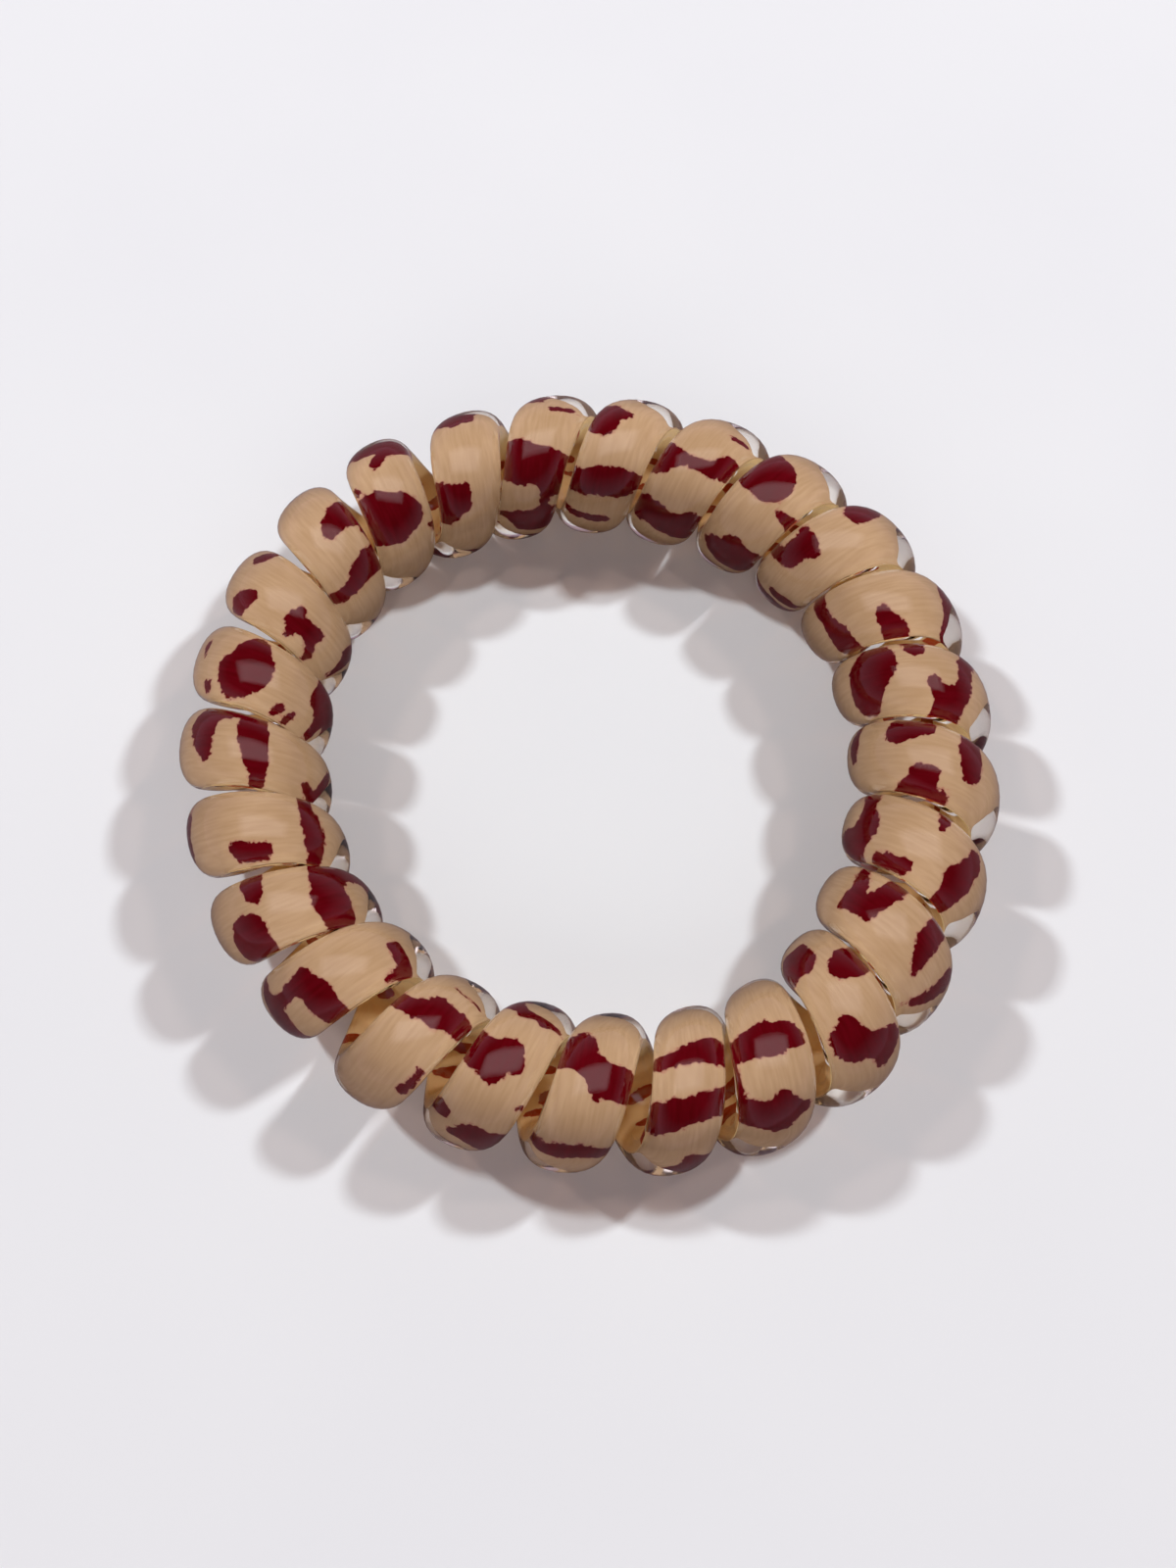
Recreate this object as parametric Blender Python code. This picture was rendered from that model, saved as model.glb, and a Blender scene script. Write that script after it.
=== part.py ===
"""Spiral hair tie: one clear plastic strand wound into a closed ring of coil turns, lying on a surface.

Units are metres, +Z up. The origin is the centre of the ring, on the surface that it rests on. The ring's far side
is +Y, and angles along the ring are degrees clockwise from there, as seen from above.
"""
import math

import bmesh
import bpy
from mathutils import Vector

# The ring: its middle line across the coil's centre, slightly oval, and the coil's outer diameter
RING_DIAMETER = 0.0448
COIL_DIAMETER = 0.0097
RING_STRETCH = 0.03
STRETCH_TOWARDS = 145.0

# The strand's section: widest on the coil's outer side, squeezed where the turns crowd round the hole
STRAND_WIDTH = 0.00515
SQUEEZED_WIDTH = 0.00495
STRAND_THICKNESS = 0.003
FACE_SHARE = 0.56
TURN_CLEARANCE = 0.00012

# How square the section is on its outward face and on its back: 2 is an ellipse, more is boxier
FACE_SQUARENESS = 2.2
BACK_SQUARENESS = 2.6

# Mesh fineness
STATIONS_PER_TURN = 16
SECTION_SIDES = 12

# One row for each turn: the angle where the strand rises round the hole, the angle where it then falls down the
# ring's outer side, how far the turn is pushed outwards, as a share of the coil's diameter, and how wide it looks
# for its twist, as a share of the strand's width
TURNS = (
    # hole side, outer side, push, width
    (-13.4, -3.9, -0.043, 0.97),
    (1.8, 10.0, -0.035, 1.0),
    (16.9, 24.9, -0.017, 1.0),
    (32.5, 39.6, 0.01, 1.0),
    (47.3, 54.9, 0.042, 1.0),
    (61.8, 69.6, 0.03, 1.0),
    (76.8, 84.7, 0.0, 1.0),
    (92.1, 99.8, -0.02, 1.0),
    (107.3, 114.6, -0.035, 1.0),
    (122.3, 128.8, -0.03, 1.0),
    (135.7, 142.2, 0.03, 0.98),
    (148.9, 156.3, 0.04, 0.95),
    (161.6, 169.2, 0.015, 0.85),
    (175.8, 183.2, -0.015, 0.9),
    (189.3, 197.2, -0.025, 0.91),
    (204.4, 211.6, 0.015, 0.9),
    (219.9, 227.0, -0.008, 0.94),
    (234.2, 241.1, 0.018, 0.98),
    (248.4, 255.6, -0.005, 1.0),
    (262.5, 269.9, 0.0, 1.04),
    (277.0, 283.8, -0.012, 1.04),
    (291.5, 297.9, -0.007, 1.01),
    (305.4, 311.9, -0.002, 0.97),
    (319.5, 325.9, 0.0, 0.92),
    (333.6, 341.0, -0.062, 0.96),
)

# The strand's colour, as the printed film gives it through the clear plastic
STRAND_COLOUR = (0.52, 0.38, 0.23, 1.0)
STRAND_ROUGHNESS = 0.15


def clear_scene():
    """Starts with no objects."""
    for item in list(bpy.data.objects):
        bpy.data.objects.remove(item, do_unlink=True)


def smooth_curve(value_at, place):
    """A smooth curve through value_at(0), value_at(1) and so on, read at a place between two of them."""
    start = math.floor(place)
    share = place - start
    before, here, after, beyond = [value_at(start + step) for step in (-1, 0, 1, 2)]
    slope = after - before
    bend = 2.0 * before - 5.0 * here + 4.0 * after - beyond
    twist = 3.0 * (here - after) + beyond - before
    return here + 0.5 * share * (slope + share * (bend + share * twist))


def side_angle(half_turn):
    """The angle at a half turn: even ones rise at the hole, odd ones fall at the outer side."""
    laps, place = divmod(half_turn, 2 * len(TURNS))
    return TURNS[place // 2][place % 2] + 360.0 * laps


def turn_push(turn):
    """How far one turn is pushed outwards."""
    return TURNS[turn % len(TURNS)][2] * COIL_DIAMETER


def turn_width(turn):
    """How wide one turn is, as a share of the strand's width."""
    return TURNS[turn % len(TURNS)][3]


def strand_angle(turn):
    """The angle along the ring, in degrees, that the strand has reached after so many turns."""
    return smooth_curve(side_angle, 2.0 * turn)


def winding_radius():
    """From the coil's centre line to the strand's widest line."""
    return COIL_DIAMETER / 2.0 - STRAND_THICKNESS * FACE_SHARE


def ring_radius(turn):
    """From the ring's centre to the coil's centre line."""
    oval = math.cos(math.radians(2.0 * (strand_angle(turn) - STRETCH_TOWARDS)))
    return RING_DIAMETER / 2.0 * (1.0 + RING_STRETCH * oval) + smooth_curve(turn_push, turn - 0.25)


def outward(turn):
    """The direction from the coil's centre line to the strand: at the hole, then over the top, then outside."""
    along = math.radians(strand_angle(turn))
    round_coil = 2.0 * math.pi * turn
    away = -math.cos(round_coil)
    return Vector((away * math.sin(along), away * math.cos(along), math.sin(round_coil)))


def strand_centre(turn):
    """A point on the strand's widest line."""
    along = math.radians(strand_angle(turn))
    radius = ring_radius(turn)
    coil_centre = Vector((radius * math.sin(along), radius * math.cos(along), COIL_DIAMETER / 2.0))
    return coil_centre + outward(turn) * winding_radius()


def strand_frame(turn):
    """The strand's centre there, with the directions across its width and out through its face."""
    step = 0.01
    ahead = (strand_centre(turn + step) - strand_centre(turn - step)).normalized()
    face = outward(turn)
    face = (face - ahead * face.dot(ahead)).normalized()
    return strand_centre(turn), ahead.cross(face), face, ahead


def soft_least(*sizes):
    """The least of some sizes, eased where two of them are close."""
    power = -40.0
    return sum(size ** power for size in sizes) ** (1.0 / power)


def strand_width(turn):
    """The section's width: squeezed at the hole, and never so wide that it meets the turns beside it."""
    outer_share = (1.0 - math.cos(2.0 * math.pi * turn)) / 2.0
    wanted = SQUEEZED_WIDTH + (STRAND_WIDTH - SQUEEZED_WIDTH) * outer_share
    wanted *= smooth_curve(turn_width, turn - 0.25)
    centre, across, face, ahead = strand_frame(turn)
    rooms = [abs((strand_centre(turn + side) - centre).dot(across)) - TURN_CLEARANCE for side in (-1, 1)]
    return soft_least(wanted, *rooms)


def section_point(place):
    """One of the section's corners, as shares of its half width and of its depth to the face or to the back."""
    angle = 2.0 * math.pi * place / SECTION_SIDES
    sideways, outwards = math.cos(angle), math.sin(angle)
    power = 2.0 / (FACE_SQUARENESS if outwards >= 0.0 else BACK_SQUARENESS)
    return (math.copysign(abs(sideways) ** power, sideways), math.copysign(abs(outwards) ** power, outwards))


def place_section(ring, layer, turn):
    """Moves one ring of corners to its station on the strand."""
    centre, across, face, ahead = strand_frame(turn)
    half_width = strand_width(turn) / 2.0
    for corner in ring:
        sideways, outwards = section_point(corner[layer])
        depth = STRAND_THICKNESS * (FACE_SHARE if outwards >= 0.0 else 1.0 - FACE_SHARE)
        corner.co = centre + across * (sideways * half_width) + face * (outwards * depth)


def ring_edges(ring):
    """The edges that join the corners of one ring."""
    corners = set(ring)
    return list({edge for corner in ring for edge in corner.link_edges if set(edge.verts) <= corners})


def footprint_centre(body):
    """The middle of the footprint's box, which becomes the origin."""
    middle = [(min(values) + max(values)) / 2.0 for values in zip(*(corner.co.xy for corner in body.verts))]
    return Vector((middle[0], middle[1], 0.0))


def coil_strand():
    """The whole strand: one section extruded from station to station round the ring and joined to its start."""
    body = bmesh.new()
    layer = body.verts.layers.int.new("corner")
    ring = bmesh.ops.create_circle(body, segments=SECTION_SIDES, radius=STRAND_THICKNESS)["verts"]
    for number, corner in enumerate(ring):
        corner[layer] = number
    place_section(ring, layer, 0.0)
    first_edges = ring_edges(ring)
    edges = first_edges
    for station in range(1, len(TURNS) * STATIONS_PER_TURN):
        grown = bmesh.ops.extrude_edge_only(body, edges=edges)["geom"]
        ring = [item for item in grown if isinstance(item, bmesh.types.BMVert)]
        place_section(ring, layer, station / STATIONS_PER_TURN)
        edges = ring_edges(ring)
    bmesh.ops.bridge_loops(body, edges=edges + first_edges)
    bmesh.ops.recalc_face_normals(body, faces=body.faces)
    body.verts.layers.int.remove(layer)
    bmesh.ops.translate(body, verts=body.verts, vec=-footprint_centre(body))
    mesh = bpy.data.meshes.new("coil_strand")
    body.to_mesh(mesh)
    body.free()
    mesh.shade_smooth()
    return mesh


def strand_material():
    """Glossy plastic in the printed film's main colour."""
    material = bpy.data.materials.new("clear_plastic_over_film")
    material.use_nodes = True
    shader = material.node_tree.nodes["Principled BSDF"]
    shader.inputs["Base Color"].default_value = STRAND_COLOUR
    shader.inputs["Roughness"].default_value = STRAND_ROUGHNESS
    shader.inputs["Metallic"].default_value = 0.0
    return material


def build():
    """Makes the hair tie."""
    clear_scene()
    strand = bpy.data.objects.new("coil_strand", coil_strand())
    strand.data.materials.append(strand_material())
    bpy.context.collection.objects.link(strand)


build()
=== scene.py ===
"""Looks of the spiral hair tie: the clear strand, the printed film inside it, the floor, light and camera.

Units are metres, +Z up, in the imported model's frame. The strand's path repeats the part's own functions.
"""

import functools
import math
import random

import bmesh
import bpy
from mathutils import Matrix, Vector


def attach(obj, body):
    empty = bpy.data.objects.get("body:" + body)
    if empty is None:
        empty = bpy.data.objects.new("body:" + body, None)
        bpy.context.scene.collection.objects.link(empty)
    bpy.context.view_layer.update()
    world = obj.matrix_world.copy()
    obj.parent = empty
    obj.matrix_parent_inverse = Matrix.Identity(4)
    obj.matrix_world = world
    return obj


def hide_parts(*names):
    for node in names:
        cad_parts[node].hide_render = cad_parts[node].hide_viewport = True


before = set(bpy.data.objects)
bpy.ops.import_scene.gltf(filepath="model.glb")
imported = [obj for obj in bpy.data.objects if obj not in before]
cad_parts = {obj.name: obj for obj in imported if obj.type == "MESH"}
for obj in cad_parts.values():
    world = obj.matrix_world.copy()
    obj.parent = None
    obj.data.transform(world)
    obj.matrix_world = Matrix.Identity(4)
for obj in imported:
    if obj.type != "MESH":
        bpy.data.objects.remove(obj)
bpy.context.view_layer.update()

# The ring and its coil, as in the part
RING_DIAMETER = 0.0448
COIL_DIAMETER = 0.0097
RING_STRETCH = 0.03
STRETCH_TOWARDS = 145.0

# The strand's section, as in the part
STRAND_WIDTH = 0.00515
SQUEEZED_WIDTH = 0.00495
STRAND_THICKNESS = 0.003
FACE_SHARE = 0.56
TURN_CLEARANCE = 0.00012
FACE_SQUARENESS = 2.2
BACK_SQUARENESS = 2.6

# From the ring's centre to the origin, which is the middle of the footprint
FOOTPRINT_SHIFT = Vector((0.000130, 0.0000878, 0.0))

# How finely the clear strand is moulded: stations along each turn, corners round its section
STRAND_STATIONS = 60
STRAND_CORNERS = 30

# The printed film, a flat strip in the middle of the strand, which the clear face magnifies: how deep it
# lies under the face, how much of the width it spans, how thick it is, and how finely it is made
FILM_DEPTH = 0.0017
FILM_SPAN = 0.94
FILM_THICKNESS = 0.00007
FILM_STATIONS = 90
FILM_FACE_CORNERS = 24
FILM_BACK_CORNERS = 8

# How strongly the clear plastic bends light
PLASTIC_IOR = 1.49

# Corners nearer to each other than this are one
WELD_DISTANCE = 0.000001

# How finely the view through the clear face is sampled, and the share of a turn at each end that is hidden
SIGHT_STATIONS = 16
SIGHT_COLUMNS = 4
HIDDEN_SHARE = 0.18

# A line of sight through the clear face: how near to the face's edge it may enter, as a share of the half
# width, how slanting it may be, and in how many steps its meeting with the film is found
FACE_EDGE = 0.98
LEAST_SLANT = 0.25
MEETING_STEPS = 3

# The search for the place on the clear face that shows a place on the film: its steps, how much of the miss
# each one makes up along and across, and how many turns along it may go
SEARCH_STEPS = 8
SEARCH_ALONG = 0.45
SEARCH_ACROSS = 0.7
SEARCH_REACH = 0.16

# The chart of the print is in millimetres: how long a turn is there, how softly two brush strokes join, how
# far round a turn its strokes are looked for, and the distance from the patches beyond which all is beige
MILLIMETRES = 1000.0
TURN_LENGTH = 29.0
STROKE_BLEND = 0.25
STROKE_REACH = 4.0
FAR_FROM_PATCHES = 3.0

# Scattered strokes for the half of each turn towards the floor: the hundredths of the turn where the first
# may start and where they end, the least and most between two, and the least and most of a stroke's measures
SCATTER_SEED = 7
SCATTER_START = (57.0, 62.0)
SCATTER_END = 94.0
SCATTER_STEP = (11.0, 17.0)
SCATTER_ACROSS = (-1.6, 1.6)
SCATTER_LEAN = (-4.0, 4.0)
SCATTER_LENGTH = (0.4, 2.4)
SCATTER_WIDTH = (1.1, 2.4)
SCATTER_TAPER = (0.5, 1.2)

# The camera: what it looks at, how high it stands over that in degrees, how far off, and its lens and sensor
CAMERA_AIM = Vector((0.00007, -0.00237, 0.00485))
CAMERA_HEIGHT = 69.0
CAMERA_DISTANCE = 0.09
CAMERA_LENS = 31.39
CAMERA_SENSOR = 36.0

# Linear colours of the plastic, and of the light that it lets through to the film and to the floor
PLASTIC = (0.98, 0.97, 0.95, 1.0)
PLASTIC_TO_FILM = (0.95, 0.93, 0.90, 1.0)
PLASTIC_TO_FLOOR = (0.42, 0.34, 0.30, 1.0)

# Linear colours of the film's print: each pair is mixed by the film's mottling or its streaks, whose lighter
# colour is partly the film's own tone and partly a painted sheen. The last is of the light that the print
# lets through.
BEIGE_DULL = ((0.42, 0.268, 0.148, 1.0), (0.46, 0.298, 0.170, 1.0))
BEIGE_SHEEN_STREAK = ((0.46, 0.302, 0.174, 1.0), (0.52, 0.350, 0.212, 1.0))
MAROON = ((0.082, 0.0006, 0.0022, 1.0), (0.105, 0.0012, 0.0045, 1.0))
PINK_FRINGE = (0.40, 0.17, 0.12, 1.0)
THROUGH_PRINT = (0.95, 0.88, 0.75, 1.0)

# Linear colours of the film's back, and of the light that it lets through to the film and to the floor, and
# how much of the back's look is light from its other side
AMBER = ((0.80, 0.66, 0.40, 1.0), (0.86, 0.72, 0.46, 1.0))
RED_BROWN = ((0.42, 0.045, 0.010, 1.0), (0.50, 0.065, 0.014, 1.0))
BACK_TO_FILM = (0.24, 0.16, 0.08, 1.0)
BACK_TO_FLOOR = (0.30, 0.18, 0.10, 1.0)
BACK_GLOW = 0.7

# Linear colours of the floor, as it is and in the darker pinkish reflection of it that is painted for gloss,
# and of the room low down and overhead
TABLE = ((0.79, 0.79, 0.81, 1.0), (0.81, 0.81, 0.825, 1.0))
TABLE_PAINTED_REFLECTION = (0.26, 0.21, 0.23, 1.0)
ROOM_LOW = (0.52, 0.38, 0.47, 1.0)
ROOM_HIGH = (0.03, 0.02, 0.025, 1.0)

# The lamps' colours
WINDOW_PINK = (1.0, 0.88, 0.92)
FILL_WARM = (1.0, 0.95, 0.90)
LAMP_COOL = (0.97, 0.99, 1.0)

# One row for each lamp, its bearing clockwise from the far side and its height in degrees. Gloss alone
# shows the mirrored ones, and the others alone give light.
LAMPS = (
    # name, bearing, height, distance, width, depth, power, colour, mirrored
    ("window", 0.0, 80.0, 0.6, 0.80, 0.50, 0.55, WINDOW_PINK, True),
    ("window_middle", 0.0, 80.0, 0.595, 0.70, 0.41, 0.45, WINDOW_PINK, True),
    ("window_heart", 0.0, 80.0, 0.59, 0.58, 0.32, 0.32, WINDOW_PINK, True),
    ("front_fill", 180.0, 34.0, 0.6, 0.60, 0.40, 0.9, FILL_WARM, False),
    ("right_lamp", 60.0, 46.0, 0.7, 0.05, 0.05, 3.00, LAMP_COOL, False),
    ("left_lamp", -60.0, 46.0, 0.7, 0.05, 0.05, 2.85, LAMP_COOL, False),
)

# What the lamps are turned towards
LAMPS_AIM = (0.0, 0.0, 0.005)

# One row for each turn: the angle where the strand rises round the hole, the angle where it then falls down
# the ring's outer side, how far the turn is pushed outwards, as a share of the coil's diameter, and how wide
# it looks for its twist, as a share of the strand's width
TURNS = (
    # hole side, outer side, push, width
    (-13.4, -3.9, -0.043, 0.97),
    (1.8, 10.0, -0.035, 1.0),
    (16.9, 24.9, -0.017, 1.0),
    (32.5, 39.6, 0.01, 1.0),
    (47.3, 54.9, 0.042, 1.0),
    (61.8, 69.6, 0.03, 1.0),
    (76.8, 84.7, 0.0, 1.0),
    (92.1, 99.8, -0.02, 1.0),
    (107.3, 114.6, -0.035, 1.0),
    (122.3, 128.8, -0.03, 1.0),
    (135.7, 142.2, 0.03, 0.98),
    (148.9, 156.3, 0.04, 0.95),
    (161.6, 169.2, 0.015, 0.85),
    (175.8, 183.2, -0.015, 0.9),
    (189.3, 197.2, -0.025, 0.91),
    (204.4, 211.6, 0.015, 0.9),
    (219.9, 227.0, -0.008, 0.94),
    (234.2, 241.1, 0.018, 0.98),
    (248.4, 255.6, -0.005, 1.0),
    (262.5, 269.9, 0.0, 1.04),
    (277.0, 283.8, -0.012, 1.04),
    (291.5, 297.9, -0.007, 1.01),
    (305.4, 311.9, -0.002, 0.97),
    (319.5, 325.9, 0.0, 0.92),
    (333.6, 341.0, -0.062, 0.96),
)

# The dark patches of the giraffe print, charted as brush strokes on the turns. Along is in hundredths of a
# turn from the hole side, so 25 is the top and 50 the outer side. Across is in millimetres from the middle of
# the face, clockwise positive. Each stroke has a start, an end, and its width at both.
PATCHES = (
    # turn, start along, start across, end along, end across, start width, end width
    (1, 1.2, 0.7, 0.6, -0.7, 3.0, 2.4),
    (1, 6.0, 0.75, 10.0, 0.7, 0.6, 0.6),
    (1, 15.0, 2.4, 15.0, 1.6, 3.6, 3.4),
    (1, 16.2, 0.8, 16.2, -0.4, 2.6, 2.5),
    (1, 16.0, -1.2, 15.6, -2.0, 3.0, 2.9),
    (1, 31.6, 0.6, 34.3, 1.8, 0.75, 0.6),
    (1, 34.5, -0.9, 41.0, -1.2, 1.0, 1.1),
    (2, 2.2, 0.5, 0.5, -1.9, 0.7, 0.6),
    (2, 14.2, 2.6, 14.2, 1.6, 1.3, 1.3),
    (2, 12.8, 0.9, 11.8, -0.4, 2.1, 1.9),
    (2, 11.0, -0.9, 9.0, -2.3, 1.6, 1.8),
    (2, 25.0, -1.3, 28.0, -1.3, 2.0, 2.0),
    (2, 28.8, -0.3, 29.4, 0.25, 1.0, 0.5),
    (2, 40.0, -2.3, 48.0, -1.8, 0.5, 0.9),
    (3, 4.5, 1.4, 5.0, -1.2, 2.2, 2.0),
    (3, 8.0, 1.5, 6.0, 1.4, 1.3, 1.6),
    (3, 1.0, 1.9, 4.0, 1.6, 0.6, 1.2),
    (3, 1.0, -1.9, 4.0, -1.6, 0.5, 0.9),
    (3, 25.5, 2.5, 21.6, 1.3, 1.9, 0.9),
    (3, 21.6, 1.3, 20.2, -0.1, 0.95, 0.75),
    (3, 19.8, -0.7, 18.8, -1.9, 1.0, 2.1),
    (3, 16.0, -1.6, 14.0, -2.2, 0.8, 0.7),
    (3, 33.0, 1.25, 35.3, 2.0, 0.6, 0.55),
    (4, 4.5, 1.2, 5.5, 0.4, 2.2, 2.1),
    (4, 1.0, 0.6, 2.0, -0.5, 3.0, 2.2),
    (4, 20.3, 2.6, 19.6, 1.5, 1.5, 0.4),
    (4, 24.2, -0.45, 24.5, -0.5, 3.3, 3.3),
    (4, 23.3, -1.6, 28.0, -2.0, 2.9, 2.4),
    (5, 0.8, 1.3, 0.3, 0.1, 1.3, 1.1),
    (5, 11.5, -0.75, 15.5, -0.75, 1.6, 1.7),
    (5, 16.2, -0.3, 16.7, 0.3, 1.1, 0.6),
    (5, 15.8, -0.9, 16.5, -1.5, 1.2, 0.8),
    (5, 10.0, -1.0, 7.5, -1.8, 1.0, 0.7),
    (5, 7.0, -2.0, 2.0, -2.4, 0.6, 0.5),
    (5, 29.5, -0.9, 34.0, -1.3, 1.8, 2.0),
    (5, 34.0, -1.4, 41.0, -2.3, 2.0, 1.6),
    (6, 10.0, 2.4, 10.0, 1.4, 2.1, 1.8),
    (6, 9.7, 0.9, 8.7, -0.2, 1.3, 0.85),
    (6, 8.3, -0.5, 6.8, -1.6, 0.9, 1.1),
    (6, 5.5, -2.0, 1.0, -2.4, 0.8, 0.6),
    (6, 24.0, 2.6, 22.0, 1.4, 2.2, 1.1),
    (6, 21.5, 1.0, 21.5, 0.9, 0.95, 0.85),
    (6, 39.5, 2.2, 39.5, -0.2, 1.2, 1.8),
    (6, 40.0, -0.3, 48.0, -1.2, 1.8, 1.4),
    (7, 9.6, 1.3, 12.5, 1.3, 1.4, 1.4),
    (7, 11.8, 0.7, 12.8, -0.4, 2.6, 3.4),
    (7, 21.0, -1.8, 22.5, -1.6, 0.9, 1.1),
    (7, 18.5, -2.1, 24.0, -2.1, 0.4, 0.4),
    (7, 31.5, 2.6, 31.5, 2.0, 2.6, 2.3),
    (7, 28.8, 1.6, 26.6, 0.7, 0.9, 0.8),
    (7, 33.8, 1.5, 33.8, -0.9, 1.25, 1.1),
    (7, 34.3, -1.0, 37.0, -2.4, 1.1, 2.0),
    (8, 4.2, 0.4, 2.0, -1.0, 0.7, 1.4),
    (8, 18.5, 2.5, 29.5, 2.5, 1.0, 1.0),
    (8, 23.0, 2.6, 23.3, 1.8, 4.0, 1.8),
    (8, 21.5, 1.35, 25.2, 1.35, 0.85, 0.85),
    (8, 15.5, -1.2, 18.5, -1.4, 1.8, 1.3),
    (8, 14.0, -1.5, 21.0, -1.6, 1.1, 0.9),
    (8, 32.5, 0.5, 31.5, -0.8, 1.2, 1.8),
    (8, 31.0, -1.0, 31.0, -2.0, 1.6, 1.6),
    (8, 33.5, 0.8, 33.3, 0.3, 0.7, 0.9),
    (9, -5.0, 1.7, 8.5, 1.6, 2.0, 1.9),
    (9, 9.5, 1.5, 11.0, 0.5, 1.8, 2.0),
    (9, 11.0, 0.3, 8.6, -1.1, 1.6, 0.9),
    (9, 8.3, -1.3, 5.0, -1.8, 0.9, 0.6),
    (9, 5.0, -1.8, -1.0, -2.1, 0.6, 0.5),
    (9, 16.0, 2.1, 24.0, 2.0, 0.7, 0.7),
    (9, 25.6, -1.1, 25.0, -2.3, 0.35, 1.2),
    (9, 36.5, 2.3, 35.0, 1.0, 1.5, 2.0),
    (9, 33.2, 1.05, 35.0, 0.3, 1.2, 1.6),
    (9, 35.2, 0.0, 35.4, -0.9, 1.5, 1.25),
    (10, 14.9, 0.45, 18.9, 0.45, 1.3, 1.3),
    (10, 13.0, 1.15, 13.2, 1.0, 0.4, 0.5),
    (10, 20.2, 0.95, 20.4, 0.9, 0.4, 0.4),
    (10, 14.6, -0.1, 13.3, -0.9, 1.2, 0.75),
    (10, 13.3, -0.9, 9.8, -1.75, 0.75, 0.45),
    (10, 9.8, -1.8, 5.0, -2.1, 0.4, 0.15),
    (10, 19.0, 0.0, 19.6, -1.2, 1.35, 1.3),
    (10, 19.6, -1.2, 19.0, -2.4, 1.3, 1.5),
    (10, 35.1, 1.25, 33.0, 0.4, 0.45, 1.0),
    (10, 32.8, 0.3, 31.6, -0.6, 1.05, 1.4),
    (10, 31.6, -0.7, 31.8, -2.2, 1.45, 1.6),
    (10, 42.0, 1.9, 42.2, 0.8, 0.8, 1.1),
    (10, 42.2, 0.6, 42.0, -0.7, 1.2, 1.3),
    (11, -4.0, 1.7, 12.0, 1.6, 1.3, 1.5),
    (11, 9.3, 0.8, 12.3, 1.0, 1.9, 2.2),
    (11, 19.2, -0.6, 19.0, -1.0, 1.5, 1.9),
    (11, 18.6, -1.2, 17.6, -2.3, 2.0, 2.3),
    (11, 29.5, 1.05, 31.5, 1.1, 1.1, 1.9),
    (11, 32.5, 1.2, 35.0, 1.3, 1.9, 1.7),
    (11, 34.3, 0.8, 36.0, -0.3, 1.5, 1.7),
    (11, 39.2, -0.1, 37.5, -0.6, 1.0, 1.6),
    (11, 36.2, -0.6, 35.8, -1.2, 1.9, 1.3),
    (12, 17.5, 2.25, 40.0, 2.25, 0.3, 0.5),
    (12, 22.5, 1.9, 24.5, 1.8, 1.3, 0.9),
    (12, 22.8, 1.3, 22.3, 0.2, 1.7, 2.1),
    (12, 22.3, 0.0, 22.2, -0.9, 1.9, 1.6),
    (12, 21.3, -1.1, 22.6, -1.2, 1.2, 1.2),
    (12, 37.3, 1.9, 37.8, 1.0, 1.9, 1.9),
    (12, 37.6, 0.8, 36.5, 0.0, 1.9, 1.7),
    (12, 34.2, 0.05, 37.5, 0.4, 1.2, 1.9),
    (12, 36.3, -0.4, 36.6, -1.2, 1.5, 0.7),
    (13, 22.3, 1.6, 21.0, 0.4, 0.95, 0.95),
    (13, 20.9, 0.3, 19.6, -1.0, 1.0, 1.4),
    (13, 19.4, -1.1, 18.8, -2.0, 1.45, 1.8),
    (13, 38.5, 2.15, 35.5, 1.7, 0.4, 0.9),
    (13, 33.5, 1.4, 32.3, 0.9, 1.7, 1.6),
    (13, 31.8, 0.6, 30.2, -0.7, 1.55, 1.4),
    (13, 30.0, -0.9, 29.3, -2.0, 1.4, 2.0),
    (13, 43.0, -0.4, 48.0, -0.7, 1.3, 2.2),
    (13, 44.0, -0.8, 50.0, -0.9, 1.7, 2.2),
    (14, 17.5, 1.8, 21.5, 1.8, 1.5, 1.5),
    (14, 18.2, 0.95, 20.8, 1.0, 1.75, 1.9),
    (14, 21.5, 0.6, 23.2, -0.2, 1.6, 1.7),
    (14, 27.3, -0.35, 28.0, -0.45, 0.55, 0.5),
    (14, 24.0, -0.6, 23.9, -2.3, 2.0, 2.15),
    (14, 43.7, 2.1, 41.3, 1.0, 0.85, 1.05),
    (14, 41.0, 0.9, 39.4, -0.2, 1.05, 0.95),
    (14, 39.3, -0.3, 39.0, -1.0, 0.95, 0.85),
    (14, 39.0, -1.0, 39.6, -2.0, 0.85, 0.85),
    (15, -3.0, 1.7, 9.0, 1.5, 0.6, 0.9),
    (15, 9.5, 1.35, 12.2, 0.3, 0.95, 1.0),
    (15, 12.2, 0.2, 12.2, -1.0, 1.0, 0.85),
    (15, 12.2, -1.0, 10.8, -1.9, 0.85, 0.35),
    (15, 24.0, 2.6, 25.0, 1.6, 3.0, 2.2),
    (15, 25.3, 1.5, 25.3, 0.9, 2.1, 2.1),
    (15, 22.6, 0.0, 26.6, 0.4, 1.7, 1.8),
    (15, 22.5, -0.3, 24.0, -0.9, 1.6, 0.9),
    (15, 30.3, -1.9, 31.3, -1.9, 0.3, 0.3),
    (15, 40.2, 1.75, 43.5, 2.3, 0.8, 0.5),
    (15, 43.9, 0.75, 42.5, 0.0, 0.9, 1.9),
    (15, 41.6, -0.5, 42.5, -1.3, 2.1, 2.3),
    (15, 42.0, -1.5, 44.0, -2.3, 2.0, 2.2),
    (16, 10.6, 0.0, 10.9, -0.6, 0.2, 0.4),
    (16, 10.8, -0.7, 8.8, -1.8, 0.35, 0.35),
    (16, 21.0, 2.6, 21.8, 1.7, 2.2, 1.25),
    (16, 21.8, 1.6, 21.3, 0.7, 1.15, 1.1),
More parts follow.
